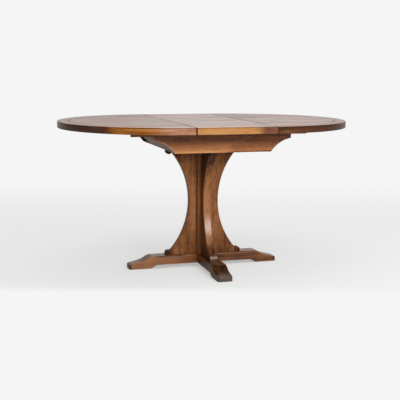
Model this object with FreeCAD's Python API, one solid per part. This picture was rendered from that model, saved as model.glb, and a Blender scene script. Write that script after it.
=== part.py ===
# Extending pedestal dining table, shown with its leaf in.
# Two D-shaped halves slide apart on wooden runners, and a lift-out leaf fills the space between
# them. A coved frame carries the slides. Below it four waisted fins stand round a square column,
# on a crossed foot.
# Lengths are millimetres. The origin is on the floor under the middle of the table: +X is the way
# that the top extends, +Y is the back and +Z is up.
import FreeCAD
import Part
import math
import os
from FreeCAD import Vector

# Top
TABLE_HEIGHT = 740.0
TOP_DIAMETER = 1070.0        # the closed, round top
TOP_THICKNESS = 32.0
LEAF_WIDTH = 379.0
SEAM_GAP = 0.5               # between the leaf and each half
RIM_WIDTH = 56.0             # solid wood band round the veneered field
RIM_SEGMENTS = 4             # in each half
EDGE_ROUND = 4.0             # upper and lower edge of the rim
SEAM_ROUND = 2.0             # edges that meet at a seam
FIELD_BEVEL = 0.8            # fine V line between field and rim
RIM_TONGUE_DEPTH = 9.0
RIM_TONGUE_THICKNESS = 8.0

# Frame under the top
FRAME_WIDTH = 679.0          # over the two rails, front to back
FRAME_LENGTH = 667.0         # over the lips at its ends
FRAME_BASE_LENGTH = 468.0    # along its lower edge
FRAME_DEPTH = 100.0
LIP_HEIGHT = 37.0
COVE_RADIUS = 153.0
RAIL_THICKNESS = 22.0
RAIL_ROUND = 1.5
PANEL_THICKNESS = 16.0       # coved end panel
PANEL_TONGUE_THICKNESS = 8.0
PANEL_TONGUE_DEPTH = 7.0
PANEL_TONGUE_MARGIN = 10.0   # from the panel's lower edge and from the runners' notches
HEAD_SIZE = 410.0
HEAD_THICKNESS = 22.0
HEAD_CORNER = 24.0
BEARER_OFFSET = 140.0        # from the middle to a bearer's centre line
BEARER_WIDTH = 45.0
BEARER_DEPTH = 32.0
HOUSING_DEPTH = 8.0          # how far a bearer is let into a rail

# Slides
RUNNER_WIDTH = 25.0
RUNNER_DEPTH = 22.0
RUNNER_REACH = 244.0         # from the seam to the runner's outer end
RUNNER_RELIEF = 1.5          # the free length passes this far under the leaf
RUNNER_END_SPACE = 7.5       # left at the far end panel when the table is closed
SIDE_SPACE = 0.5             # beside a runner
BATTEN_WIDTH = 25.0
BATTEN_DROP = 2.0            # below the underside of the top
STRIP_HEIGHT = 8.0
STRIP_PROUD = 6.0
STRIP_LET_IN = 8.0
SLIDE_CLEARANCE = 0.4
OVER_TRAVEL = 30.0           # a half opens this far past the leaf
STOP_CLEARANCE = 0.3
CLEAT_WIDTH = 40.0
CLEAT_DEPTH = 20.0
CLEAT_END_SPACE = 2.5        # from a cleat to the batten beside it
CLEAT_ROUND = 3.0
LEAF_CLEAT_OFFSET = 110.0

# Pedestal
COLUMN_WIDTH = 76.0
COLUMN_ROUND = 3.0
TENON_WIDTH = 40.0
TENON_LENGTH = 14.0
FIN_THICKNESS = 38.0
FIN_REACH = 198.0            # from the middle to the lower toe's nose
FIN_WAIST = 75.0
FIN_HOLLOW_RADIUS = 384.0
FIN_TOE_HEIGHT = 22.0        # lower toe
FIN_TOE_SHELF = 28.5         # least length of the lower toe past the hollow
FIN_TOE_ROUND = 13.0
FIN_TOE_HOLLOW = 16.0
FIN_BEAD_REACH = 195.5       # from the middle to the nose of the upper toe's bead
FIN_BEAD_OVERHANG = 26.0     # least reach of the bead past the hollow
FIN_BEAD_RADIUS = 14.0
FIN_BEAD_DROP = 36.0         # from the fin's top to the underside of its bead
FIN_QUIRK_ROUND = 2.0
FIN_ROUND = 3.0
FIN_TONGUE_THICKNESS = 14.0
FIN_TONGUE_DEPTH = 10.0
FIN_SCREW_REACH = 103.0
FIN_DOWEL_REACH = 158.0
FOOT_LENGTH = 780.0          # of the beam along X
FOOT_CROSS_TRIM = 8.0        # the cross beam's toes are this much shorter
FOOT_WIDTH = 74.0
FOOT_HEIGHT = 60.0
FOOT_RELIEF = 16.0           # gap under the foot between its pads
FOOT_PAD = 112.5
FOOT_PAD_SLOPE = 28.0
FOOT_END_HEIGHT = 22.0
FOOT_TOE_LENGTH = 59.5
FOOT_TOE_RISE = 14.0
FOOT_OGEE_LENGTH = 62.0
FOOT_CORNER = 11.0           # upright corners of the toes
FOOT_ROUND = 7.0             # upper edges

# Fastenings and fits
FIT = 0.1                    # round a glued or driven piece
SCREW_RADIUS = 2.2
SCREW_HEAD_RADIUS = 4.4
SCREW_BITE = 14.0            # how far a screw enters the piece that it holds
BIG_SCREW_RADIUS = 3.2
BIG_SCREW_HEAD_RADIUS = 6.0
BIG_SCREW_BITE = 36.0
SLOT_WIDTH = 1.2
SLOT_DEPTH = 1.2
SCREW_END_MARGIN = 25.0      # from the end of a runner, or from the seam, to its nearest screw
SCREWS_PER_RUNNER = 3
SCREWS_PER_CLEAT = 3
CLEAT_SCREW_MARGIN = 40.0
BEARER_SCREW_Y = 150.0
DOWEL_RADIUS = 5.0
DOWEL_LENGTH = 36.0
DOWEL_CHAMFER = 1.0

# Levels and places that follow from them
TOP_BOTTOM = TABLE_HEIGHT - TOP_THICKNESS
TOP_RADIUS = TOP_DIAMETER / 2
FRAME_BOTTOM = TOP_BOTTOM - FRAME_DEPTH
FIELD_RADIUS = TOP_RADIUS - RIM_WIDTH
HALF_CENTRE = -(LEAF_WIDTH / 2 + SEAM_GAP)      # seam plane of the left half
RAIL_INNER = FRAME_WIDTH / 2 - RAIL_THICKNESS
FRAME_INNER = FRAME_LENGTH / 2 - PANEL_THICKNESS
OUTER_RUNNER = RAIL_INNER - SIDE_SPACE          # outer face of the runner beside a rail
INNER_RUNNER = OUTER_RUNNER - RUNNER_WIDTH - 2 * SIDE_SPACE
BATTEN_OUTER = INNER_RUNNER - RUNNER_WIDTH - SIDE_SPACE
BATTEN_INNER = BATTEN_OUTER - BATTEN_WIDTH
CLEAT_HALF = BATTEN_INNER - CLEAT_END_SPACE
RUNNER_BOTTOM = TOP_BOTTOM - RUNNER_DEPTH
RUNNER_MIDDLE = TOP_BOTTOM - RUNNER_DEPTH / 2
CLEAT_BOTTOM = TOP_BOTTOM - CLEAT_DEPTH
HEAD_TOP = FRAME_BOTTOM + HEAD_THICKNESS
BEARER_TOP = HEAD_TOP + BEARER_DEPTH
COLUMN_HALF = COLUMN_WIDTH / 2
AXIS = Vector(0, 0, 1)
ORIGIN = Vector(0, 0, 0)
TINY = 1e-4


# Helpers
def line(start, end):
    return Part.LineSegment(start, end).toShape()


def outline(points):
    """Straight edges through points, not closed."""
    return [line(a, b) for a, b in zip(points, points[1:])]


def solid(edges, direction):
    """Closed outline pushed along a direction."""
    return Part.Face(Part.Wire(edges)).extrude(direction)


def block(x, y, z):
    """Box between (low, high) pairs, in any order."""
    low = Vector(min(x), min(y), min(z))
    high = Vector(max(x), max(y), max(z))
    size = high - low
    return Part.makeBox(size.x, size.y, size.z, low)


def turned(shape, angle):
    """Copy turned about the table's upright axis."""
    copy = shape.copy()
    copy.rotate(ORIGIN, AXIS, angle)
    return copy


def mirrored(shape):
    """Copy reflected in the plane between left and right."""
    return shape.mirror(ORIGIN, Vector(1, 0, 0))


def both_ways(shape):
    """A solid and its left-right reflection, as one solid."""
    return shape.fuse(mirrored(shape)).removeSplitter()


def rounded(shape, radius, chosen):
    """Round every edge whose bounding box passes a test."""
    return shape.makeFillet(radius, [edge for edge in shape.Edges if chosen(edge.BoundBox)])


def cut_by(shape, cutters):
    for cutter in cutters:
        shape = shape.cut(cutter)
    return shape


def at(shape, place):
    copy = shape.copy()
    copy.translate(place)
    return copy


def spread(low, high, count):
    """Evenly spaced values from low to high."""
    return [low + (high - low) * i / (count - 1) for i in range(count)]


# Fastenings
def screw_form(radius, head_radius, length, gap):
    """Countersunk screw pointing up from its head at z = 0. A gap makes the hole that it fills."""
    head = head_radius - radius
    point = 2 * radius
    profile = outline([
        Vector(0, 0, 0),
        Vector(head_radius + gap, 0, 0),
        Vector(radius + gap, 0, head),
        Vector(radius + gap, 0, length - point),
        Vector(0, 0, length + gap),
        Vector(0, 0, 0),
    ])
    return Part.Face(Part.Wire(profile)).revolve(ORIGIN, AXIS, 360)


def screw(length):
    body = screw_form(SCREW_RADIUS, SCREW_HEAD_RADIUS, length, 0)
    slot = block((-SCREW_HEAD_RADIUS, SCREW_HEAD_RADIUS), (-SLOT_WIDTH / 2, SLOT_WIDTH / 2), (0, SLOT_DEPTH))
    return body.cut(slot)


def screw_hole(length):
    return screw_form(SCREW_RADIUS, SCREW_HEAD_RADIUS, length, FIT)


def big_screw(length):
    head = BIG_SCREW_HEAD_RADIUS
    body = screw_form(BIG_SCREW_RADIUS, head, length, 0)
    return body.cut(block((-head, head), (-SLOT_WIDTH / 2, SLOT_WIDTH / 2), (0, SLOT_DEPTH)))


def big_screw_hole(length):
    return screw_form(BIG_SCREW_RADIUS, BIG_SCREW_HEAD_RADIUS, length, FIT)


def head_up(shape):
    """Turn a fastening over, so that it points down from its head at z = 0."""
    copy = shape.copy()
    copy.rotate(ORIGIN, Vector(1, 0, 0), 180)
    return copy


def dowel(gap):
    """Upright dowel with bevelled ends, centred on the joint that it crosses."""
    radius = DOWEL_RADIUS + gap
    half = DOWEL_LENGTH / 2 + gap
    profile = outline([
        Vector(0, 0, -half),
        Vector(radius - DOWEL_CHAMFER, 0, -half),
        Vector(radius, 0, DOWEL_CHAMFER - half),
        Vector(radius, 0, half - DOWEL_CHAMFER),
        Vector(radius - DOWEL_CHAMFER, 0, half),
        Vector(0, 0, half),
        Vector(0, 0, -half),
    ])
    return Part.Face(Part.Wire(profile)).revolve(ORIGIN, AXIS, 360)


# Pedestal: crossed foot, column and fins
FOOT_SCREW_LENGTH = FOOT_HEIGHT - FOOT_RELIEF + BIG_SCREW_BITE
HEAD_SCREW_LENGTH = HEAD_THICKNESS + BIG_SCREW_BITE
FOOT_LAP = (FOOT_RELIEF + FOOT_HEIGHT) / 2      # level where the two foot beams cross


def round_the_cross(shape, reach, level):
    """Copies of a fastening on the four arms of the pedestal."""
    return [turned(at(shape, Vector(reach, 0, level)), 90 * i) for i in range(4)]


def pedestal_holes():
    """Holes for the screws and dowels that join the fins to the foot and to the head plate."""
    holes = round_the_cross(big_screw_hole(FOOT_SCREW_LENGTH), FIN_SCREW_REACH, FOOT_RELIEF)
    holes += round_the_cross(head_up(big_screw_hole(HEAD_SCREW_LENGTH)), FIN_SCREW_REACH, HEAD_TOP)
    for level in (FOOT_HEIGHT, FRAME_BOTTOM):
        holes += round_the_cross(dowel(FIT), FIN_DOWEL_REACH, level)
    return holes


def fin_screws():
    low = round_the_cross(big_screw(FOOT_SCREW_LENGTH), FIN_SCREW_REACH, FOOT_RELIEF)
    high = round_the_cross(head_up(big_screw(HEAD_SCREW_LENGTH)), FIN_SCREW_REACH, HEAD_TOP)
    return low + high


def fin_dowels():
    low = round_the_cross(dowel(0), FIN_DOWEL_REACH, FOOT_HEIGHT)
    high = round_the_cross(dowel(0), FIN_DOWEL_REACH, FRAME_BOTTOM)
    return low + high


def tenon(gap):
    """Stub tenons at both ends of the column, or the mortises that take them."""
    half = TENON_WIDTH / 2 + gap
    low = block((-half, half), (-half, half), (FOOT_HEIGHT - TENON_LENGTH - gap, FOOT_HEIGHT))
    high = block((-half, half), (-half, half), (FRAME_BOTTOM, FRAME_BOTTOM + TENON_LENGTH + gap))
    return [low, high]


def foot_beam(trim):
    """One whole beam along X: pads at its ends, a relieved underside and an ogee on each toe."""
    full = FOOT_LENGTH / 2
    end = full - trim
    pad = full - FOOT_PAD
    toe = Vector(full - FOOT_TOE_LENGTH, 0, FOOT_END_HEIGHT + FOOT_TOE_RISE)
    nose = Vector(end, 0, FOOT_END_HEIGHT + FOOT_TOE_RISE * trim / FOOT_TOE_LENGTH)
    crest = Vector(toe.x - FOOT_OGEE_LENGTH, 0, FOOT_HEIGHT)
    handle = FOOT_OGEE_LENGTH * 0.45
    rise = (toe - nose).normalize() * handle
    ogee = Part.BezierCurve()
    ogee.setPoles([toe, toe + rise, crest + Vector(handle, 0, 0), crest])
    edges = outline([
        Vector(0, 0, FOOT_HEIGHT),
        Vector(0, 0, FOOT_RELIEF),
        Vector(pad - FOOT_PAD_SLOPE, 0, FOOT_RELIEF),
        Vector(pad, 0, 0),
        Vector(end, 0, 0),
        nose,
        toe,
    ])
    edges += [ogee.toShape(), line(crest, Vector(0, 0, FOOT_HEIGHT))]
    arm = at(solid(edges, Vector(0, FOOT_WIDTH, 0)), Vector(0, -FOOT_WIDTH / 2, 0))
    arm = rounded(arm, FOOT_CORNER, lambda box: box.XMin > end - TINY and box.ZLength > TINY)
    beam = both_ways(arm)

    def upper(box):
        on_end = min(abs(box.XMin), abs(box.XMax)) > end - FOOT_CORNER - TINY
        along = box.XLength > TINY and box.YLength < TINY
        return box.ZMin > FOOT_RELIEF + TINY and (on_end or along)
    return rounded(beam, FOOT_ROUND, upper)


def foot_beams():
    """The two beams, halved over each other."""
    half = FOOT_WIDTH / 2 + FIT
    upper_lap = block((-half, half), (-half, half), (FOOT_LAP, FOOT_HEIGHT))
    lower_lap = block((-half, half), (-half, half), (0, FOOT_LAP))
    holes = pedestal_holes() + tenon(FIT)
    long_beam = cut_by(foot_beam(0).cut(upper_lap), holes)
    cross_beam = cut_by(turned(foot_beam(FOOT_CROSS_TRIM), 90).cut(lower_lap), holes)
    return long_beam, cross_beam


def fin_tongue(gap):
    """Tongue on the inner edge of the right-hand fin, or the groove that takes it."""
    half = FIN_TONGUE_THICKNESS / 2 + gap
    inner = COLUMN_HALF - FIN_TONGUE_DEPTH - gap
    return block((inner, COLUMN_HALF), (-half, half), (FOOT_HEIGHT, FRAME_BOTTOM))


def column():
    half = COLUMN_HALF
    shaft = block((-half, half), (-half, half), (FOOT_HEIGHT, FRAME_BOTTOM))
    shaft = rounded(shaft, COLUMN_ROUND, lambda box: box.ZLength > TINY)
    shaft = cut_by(shaft, [turned(fin_tongue(FIT), 90 * i) for i in range(4)])
    return shaft.multiFuse(tenon(0)).removeSplitter()


def circles_meet(centre, radius, other, other_radius):
    """Lower of the two points that two upright circles share."""
    apart = other - centre
    along = (apart.Length ** 2 + radius ** 2 - other_radius ** 2) / (2 * apart.Length)
    way = apart.normalize()
    aside = Vector(way.z, 0, -way.x) * math.sqrt(radius ** 2 - along ** 2)
    foot = centre + way * along
    return min(foot + aside, foot - aside, key=lambda point: point.z)


def hollow_at(centre, level):
    """Point at a level on the fin's hollow about a centre."""
    return Vector(centre.x - math.sqrt(FIN_HOLLOW_RADIUS ** 2 - (level - centre.z) ** 2), 0, level)


def hollow_arc(centre, start, end):
    """Arc of the fin's hollow between two points."""
    return Part.Arc(start, hollow_at(centre, (start.z + end.z) / 2), end).toShape()


def fin():
    """Right-hand fin: a plank with a hollow outer edge, a toe below and a beaded toe above.

    A fin that is taller than its hollow has a straight waist. One whose hollow stops short of the bead has
    a flat soffit beside the bead.
    """
    middle = (FOOT_HEIGHT + FRAME_BOTTOM) / 2
    low = FOOT_HEIGHT + FIN_TOE_HEIGHT
    bead_level = FRAME_BOTTOM - FIN_BEAD_DROP + FIN_BEAD_RADIUS
    depth = min(FIN_REACH - FIN_TOE_SHELF, FIN_BEAD_REACH - FIN_BEAD_OVERHANG) - FIN_WAIST
    rise = math.sqrt(2 * FIN_HOLLOW_RADIUS * depth - depth ** 2)
    straight = max(0, middle - low - rise)
    lower = Vector(FIN_WAIST + FIN_HOLLOW_RADIUS, 0, middle - straight)
    upper = Vector(FIN_WAIST + FIN_HOLLOW_RADIUS, 0, middle + straight)
    shoulder = hollow_at(lower, low)
    soffit = hollow_at(upper, bead_level)
    bead = Vector(FIN_BEAD_REACH - FIN_BEAD_RADIUS, 0, bead_level)
    meets_bead = soffit.x > bead.x - FIN_BEAD_RADIUS
    if meets_bead:
        soffit = circles_meet(upper, FIN_HOLLOW_RADIUS, bead, FIN_BEAD_RADIUS)
        quirk = soffit
    else:
        quirk = Vector(bead.x - FIN_BEAD_RADIUS, 0, bead_level)
    nose = Vector(FIN_BEAD_REACH, 0, bead_level)
    edges = outline([
        nose,
        Vector(FIN_BEAD_REACH, 0, FRAME_BOTTOM),
        Vector(COLUMN_HALF, 0, FRAME_BOTTOM),
        Vector(COLUMN_HALF, 0, FOOT_HEIGHT),
        Vector(FIN_REACH, 0, FOOT_HEIGHT),
        Vector(FIN_REACH, 0, low),
        shoulder,
    ])
    if straight > 0:
        edges.append(hollow_arc(lower, shoulder, Vector(FIN_WAIST, 0, lower.z)))
        edges += outline([Vector(FIN_WAIST, 0, lower.z), Vector(FIN_WAIST, 0, upper.z)])
        edges.append(hollow_arc(upper, Vector(FIN_WAIST, 0, upper.z), soffit))
    else:
        edges.append(Part.Arc(shoulder, Vector(FIN_WAIST, 0, middle), soffit).toShape())
    if not meets_bead:
        edges += outline([soffit, quirk])
    edges.append(Part.Arc(quirk, bead - AXIS * FIN_BEAD_RADIUS, nose).toShape())
    plank = at(solid(edges, Vector(0, FIN_THICKNESS, 0)), Vector(0, -FIN_THICKNESS / 2, 0))

    def edge_at(point):
        def chosen(box):
            across = abs(box.XMin - point.x) < TINY and abs(box.ZMin - point.z) < TINY
            return box.YLength > TINY and across and box.ZLength < TINY
        return chosen
    plank = rounded(plank, FIN_TOE_HOLLOW, edge_at(shoulder))
    plank = rounded(plank, FIN_TOE_ROUND, edge_at(Vector(FIN_REACH, 0, low)))
    if meets_bead:
        plank = rounded(plank, FIN_QUIRK_ROUND, edge_at(quirk))
    else:
        corner_round = min(FIN_QUIRK_ROUND, (quirk.x - soffit.x) / 3)
        for corner in (soffit, quirk):
            plank = rounded(plank, corner_round, edge_at(corner))

    def outer_edge(box):
        on_end = box.ZLength < TINY and (box.ZMin < FOOT_HEIGHT + TINY or box.ZMax > FRAME_BOTTOM - TINY)
        return box.YLength < TINY and box.XMax > COLUMN_HALF + TINY and not on_end
    plank = rounded(plank, FIN_ROUND, outer_edge)
    return plank.fuse(fin_tongue(0)).removeSplitter()


def fins():
    """Right, rear, left and front fins."""
    holes = pedestal_holes()
    return [cut_by(turned(fin(), 90 * i), holes) for i in range(4)]


# Frame: head plate, bearers, rails and coved ends
BEARER_SCREW_LENGTH = HEAD_THICKNESS + SCREW_BITE
BATTEN_SCREW_LENGTH = BEARER_DEPTH + SCREW_BITE


def bearer_screw_places():
    return [
        Vector(x, y, FRAME_BOTTOM)
        for x in (-BEARER_OFFSET, BEARER_OFFSET)
        for y in (-BEARER_SCREW_Y, BEARER_SCREW_Y)
    ]


def batten_screw_places():
    middle = (BATTEN_OUTER + BATTEN_INNER) / 2
    return [
        Vector(x, y, HEAD_TOP)
        for x in (-BEARER_OFFSET, BEARER_OFFSET)
        for y in (-middle, middle)
    ]


def placed(shape, places):
    return [at(shape, place) for place in places]


def head_plate():
    half = HEAD_SIZE / 2
    plate = block((-half, half), (-half, half), (FRAME_BOTTOM, HEAD_TOP))
    plate = rounded(plate, HEAD_CORNER, lambda box: box.ZLength > TINY)
    plate = rounded(plate, RAIL_ROUND, lambda box: box.ZMax < FRAME_BOTTOM + TINY)
    holes = pedestal_holes() + tenon(FIT)
    return cut_by(plate, holes + placed(screw_hole(BEARER_SCREW_LENGTH), bearer_screw_places()))


def bearer_block(side, gap):
    half = BEARER_WIDTH / 2 + gap
    end = RAIL_INNER + HOUSING_DEPTH + gap
    middle = side * BEARER_OFFSET
    return block((middle - half, middle + half), (-end, end), (HEAD_TOP - gap, BEARER_TOP + gap))


def bearer(side):
    """Cross bearer, housed in both rails and screwed to the head plate and to the battens."""
    holes = placed(screw_hole(BEARER_SCREW_LENGTH), bearer_screw_places())
    holes += placed(screw_hole(BATTEN_SCREW_LENGTH), batten_screw_places())
    return cut_by(bearer_block(side, 0), holes)


def cove_centre():
    """Centre of the hollow at the frame's right end, outside and below it."""
    lip = Vector(FRAME_LENGTH / 2, 0, TOP_BOTTOM - LIP_HEIGHT)
    base = Vector(FRAME_BASE_LENGTH / 2, 0, FRAME_BOTTOM)
    chord = lip - base
    half = chord.Length / 2
    out = Vector(chord.z, 0, -chord.x).normalize()
    return (lip + base) * 0.5 + out * math.sqrt(COVE_RADIUS ** 2 - half ** 2)


COVE_CENTRE = cove_centre()


def cove_at_level(level, inset):
    """Point of the hollow at a level, or of the curve that lies an inset behind it."""
    rise = level - COVE_CENTRE.z
    return Vector(COVE_CENTRE.x - math.sqrt((COVE_RADIUS + inset) ** 2 - rise ** 2), 0, level)


def cove_at_lip(inset):
    """Point where that curve meets the lip's upright face, set in alike."""
    x = FRAME_LENGTH / 2 - inset
    rise = math.sqrt((COVE_RADIUS + inset) ** 2 - (COVE_CENTRE.x - x) ** 2)
    return Vector(x, 0, COVE_CENTRE.z + rise)


def cove_arc(start, end):
    """Arc between two points at one distance from the hollow's centre."""
    way = ((start - COVE_CENTRE) + (end - COVE_CENTRE)).normalize()
    middle = COVE_CENTRE + way * (start - COVE_CENTRE).Length
    return Part.Arc(start, middle, end).toShape()


def end_band(insets, levels, y):
    """Bent board at the right end: the hollow and the lip, from one inset to another."""
    outer, inner = insets
    low, high = levels
    edges = []
    for inset in insets:
        lip = cove_at_lip(inset)
        edges.append(cove_arc(cove_at_level(low, inset), lip))
        if high > lip.z + TINY:
            edges.append(line(lip, Vector(lip.x, 0, high)))
    tops = [Vector(FRAME_LENGTH / 2 - inset, 0, high) for inset in insets]
    edges.append(line(tops[0], tops[1]))
    edges.append(line(cove_at_level(low, outer), cove_at_level(low, inner)))
    ordered = Part.__sortEdges__(edges)
    band = solid(ordered, Vector(0, max(y) - min(y), 0))
    return at(band, Vector(0, min(y), 0))


def panel_tongue(gap):
    """Tongues on both ends of the right end panel, or the grooves that take them."""
    outer = (PANEL_THICKNESS - PANEL_TONGUE_THICKNESS) / 2 - gap
    insets = (outer, outer + PANEL_TONGUE_THICKNESS + 2 * gap)
    low = FRAME_BOTTOM + PANEL_TONGUE_MARGIN - gap
    lip = cove_at_lip(insets[1]).z
    end = RAIL_INNER + PANEL_TONGUE_DEPTH + gap
    tongue = end_band(insets, (low, lip), (-end, end))
    return tongue


def runner_notches():
    """Slots in the right end panel's lip for the two runners that pass through it."""
    level = (RUNNER_BOTTOM - SLIDE_CLEARANCE, TOP_BOTTOM)
    x = (FRAME_INNER - PANEL_THICKNESS, FRAME_LENGTH / 2 + PANEL_THICKNESS)
    rear = (OUTER_RUNNER - RUNNER_WIDTH - SIDE_SPACE, RAIL_INNER)
    front = (-INNER_RUNNER - SIDE_SPACE, RUNNER_WIDTH + SIDE_SPACE - INNER_RUNNER)
    return [block(x, rear, level), block(x, front, level)]


def end_panel():
    """Right end panel: coved, tongued into the rails and notched for the runners."""
    board = end_band((0, PANEL_THICKNESS), (FRAME_BOTTOM, TOP_BOTTOM), (-RAIL_INNER, RAIL_INNER))
    board = board.fuse(panel_tongue(0)).removeSplitter()
    return cut_by(board, runner_notches())


def rail():
    """Front rail: coved ends, a groove for the guide strip and housings for the bearers."""
    base = Vector(FRAME_BASE_LENGTH / 2, 0, FRAME_BOTTOM)
    lip = Vector(FRAME_LENGTH / 2, 0, TOP_BOTTOM - LIP_HEIGHT)
    edges = [cove_arc(base, lip)]
    edges += outline([
        lip,
        Vector(lip.x, 0, TOP_BOTTOM),
        Vector(0, 0, TOP_BOTTOM),
        Vector(0, 0, FRAME_BOTTOM),
        base,
    ])
    face = -FRAME_WIDTH / 2
    board = both_ways(at(solid(edges, Vector(0, RAIL_THICKNESS, 0)), Vector(0, face, 0)))

    def shown_edge(box):
        return box.YMax < face + TINY and box.ZMax < TOP_BOTTOM - TINY
    board = rounded(board, RAIL_ROUND, shown_edge)
    grooves = [panel_tongue(FIT), mirrored(panel_tongue(FIT)), rail_strip(FIT)]
    return cut_by(board, grooves + [bearer_block(side, FIT) for side in (-1, 1)])


def strip_levels(gap):
    return (RUNNER_MIDDLE - STRIP_HEIGHT / 2 - gap, RUNNER_MIDDLE + STRIP_HEIGHT / 2 + gap)


def rail_strip(gap):
    """Guide strip let into the front rail, or its groove."""
    end = FRAME_INNER - FIT + gap
    return block((-end, end), (STRIP_PROUD - RAIL_INNER, -RAIL_INNER - STRIP_LET_IN - gap), strip_levels(gap))


# Slides: battens, strips and runners
def batten_half_length():
    """The battens stop short of the end panels' curved backs."""
    return cove_at_level(BEARER_TOP, PANEL_THICKNESS).x - SIDE_SPACE


def batten_strip(gap):
    """Guide strip let into the front batten, or its groove."""
    end = batten_half_length()
    return block((-end, end), (-BATTEN_OUTER - STRIP_PROUD, STRIP_LET_IN + gap - BATTEN_OUTER), strip_levels(gap))


def guide_batten():
    """Front batten: it stands on the bearers and guides the inner runner."""
    end = batten_half_length()
    batten = block((-end, end), (-BATTEN_OUTER, -BATTEN_INNER), (BEARER_TOP, TOP_BOTTOM - BATTEN_DROP))
    holes = placed(screw_hole(BATTEN_SCREW_LENGTH), batten_screw_places())
    return cut_by(batten, [batten_strip(FIT)] + holes)


RUNNER_SCREW_LENGTH = RUNNER_DEPTH + SCREW_BITE
CLEAT_SCREW_LENGTH = CLEAT_DEPTH + SCREW_BITE
RUNNER_OUTER_END = HALF_CENTRE - RUNNER_REACH
RUNNER_INNER_END = HALF_CENTRE + FRAME_INNER - RUNNER_END_SPACE


def runner_bar(y, groove_y):
    """One runner of the left half, with its groove and the relief beyond the seam."""
    bar = block((RUNNER_OUTER_END, RUNNER_INNER_END), y, (RUNNER_BOTTOM, TOP_BOTTOM))
    relief = block((HALF_CENTRE, RUNNER_INNER_END), y, (TOP_BOTTOM - RUNNER_RELIEF, TOP_BOTTOM))
    groove = block((RUNNER_OUTER_END, RUNNER_INNER_END), groove_y, strip_levels(SLIDE_CLEARANCE))
    holes = placed(screw_hole(RUNNER_SCREW_LENGTH), runner_screw_places())
    return cut_by(bar, [relief, groove] + holes)


def left_runners():
    """Front runner, beside the rail, and rear runner, beside the batten."""
    depth = STRIP_PROUD - SIDE_SPACE + SLIDE_CLEARANCE
    front = (-OUTER_RUNNER, RUNNER_WIDTH - OUTER_RUNNER)
    front_groove = (-OUTER_RUNNER, depth - OUTER_RUNNER)
    rear = (INNER_RUNNER - RUNNER_WIDTH, INNER_RUNNER)
    rear_groove = (rear[0], rear[0] + depth)
    return runner_bar(front, front_groove), runner_bar(rear, rear_groove)


def runner_screw_places():
    middles = (RUNNER_WIDTH / 2 - OUTER_RUNNER, INNER_RUNNER - RUNNER_WIDTH / 2)
    start = RUNNER_OUTER_END + SCREW_END_MARGIN
    rows = spread(start, HALF_CENTRE - SCREW_END_MARGIN, SCREWS_PER_RUNNER)
    return [Vector(x, y, RUNNER_BOTTOM) for x in rows for y in middles]


# Cleats under the halves and the leaf
HALF_CLEAT_X = OVER_TRAVEL + STOP_CLEARANCE - FRAME_INNER + CLEAT_WIDTH / 2


def cleat_screw_places(x):
    end = CLEAT_HALF - CLEAT_SCREW_MARGIN
    return [Vector(x, y, CLEAT_BOTTOM) for y in spread(-end, end, SCREWS_PER_CLEAT)]


def cleat(x):
    """Cleat across the grain of the top, with eased lower edges."""
    half = CLEAT_WIDTH / 2
    bar = block((x - half, x + half), (-CLEAT_HALF, CLEAT_HALF), (CLEAT_BOTTOM, TOP_BOTTOM))
    bar = rounded(bar, CLEAT_ROUND, lambda box: box.ZMax < CLEAT_BOTTOM + TINY)
    return cut_by(bar, placed(screw_hole(CLEAT_SCREW_LENGTH), cleat_screw_places(x)))


# Top: fields, rims and lippings
TONGUE_LOW = (TOP_BOTTOM + TABLE_HEIGHT - RIM_TONGUE_THICKNESS) / 2
TONGUE_HIGH = TONGUE_LOW + RIM_TONGUE_THICKNESS


def field_section():
    """Section of a field from its middle out to its tongue, as (distance, height)."""
    return outline([
        Vector(0, 0, TOP_BOTTOM),
        Vector(FIELD_RADIUS, 0, TOP_BOTTOM),
        Vector(FIELD_RADIUS, 0, TONGUE_LOW),
        Vector(FIELD_RADIUS + RIM_TONGUE_DEPTH, 0, TONGUE_LOW),
        Vector(FIELD_RADIUS + RIM_TONGUE_DEPTH, 0, TONGUE_HIGH),
        Vector(FIELD_RADIUS, 0, TONGUE_HIGH),
        Vector(FIELD_RADIUS, 0, TABLE_HEIGHT - FIELD_BEVEL),
        Vector(FIELD_RADIUS - FIELD_BEVEL, 0, TABLE_HEIGHT),
        Vector(0, 0, TABLE_HEIGHT),
        Vector(0, 0, TOP_BOTTOM),
    ])


def rim_section():
    """Section of the rim: grooved inside, with its outer edges rounded."""
    inner = FIELD_RADIUS + FIT
    groove = FIELD_RADIUS + RIM_TONGUE_DEPTH + FIT
    turn = EDGE_ROUND * (1 - math.sqrt(0.5))
    edges = outline([
        Vector(TOP_RADIUS - EDGE_ROUND, 0, TABLE_HEIGHT),
        Vector(inner + FIELD_BEVEL, 0, TABLE_HEIGHT),
        Vector(inner, 0, TABLE_HEIGHT - FIELD_BEVEL),
        Vector(inner, 0, TONGUE_HIGH + FIT),
        Vector(groove, 0, TONGUE_HIGH + FIT),
        Vector(groove, 0, TONGUE_LOW - FIT),
        Vector(inner, 0, TONGUE_LOW - FIT),
        Vector(inner, 0, TOP_BOTTOM),
        Vector(TOP_RADIUS - EDGE_ROUND, 0, TOP_BOTTOM),
    ])
    low = Vector(TOP_RADIUS, 0, TOP_BOTTOM + EDGE_ROUND)
    high = Vector(TOP_RADIUS, 0, TABLE_HEIGHT - EDGE_ROUND)
    low_turn = Vector(TOP_RADIUS - turn, 0, TOP_BOTTOM + turn)
    high_turn = Vector(TOP_RADIUS - turn, 0, TABLE_HEIGHT - turn)
    edges.append(Part.Arc(Vector(low.x - EDGE_ROUND, 0, TOP_BOTTOM), low_turn, low).toShape())
    edges.append(line(low, high))
    edges.append(Part.Arc(high, high_turn, Vector(high.x - EDGE_ROUND, 0, TABLE_HEIGHT)).toShape())
    return edges


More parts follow.
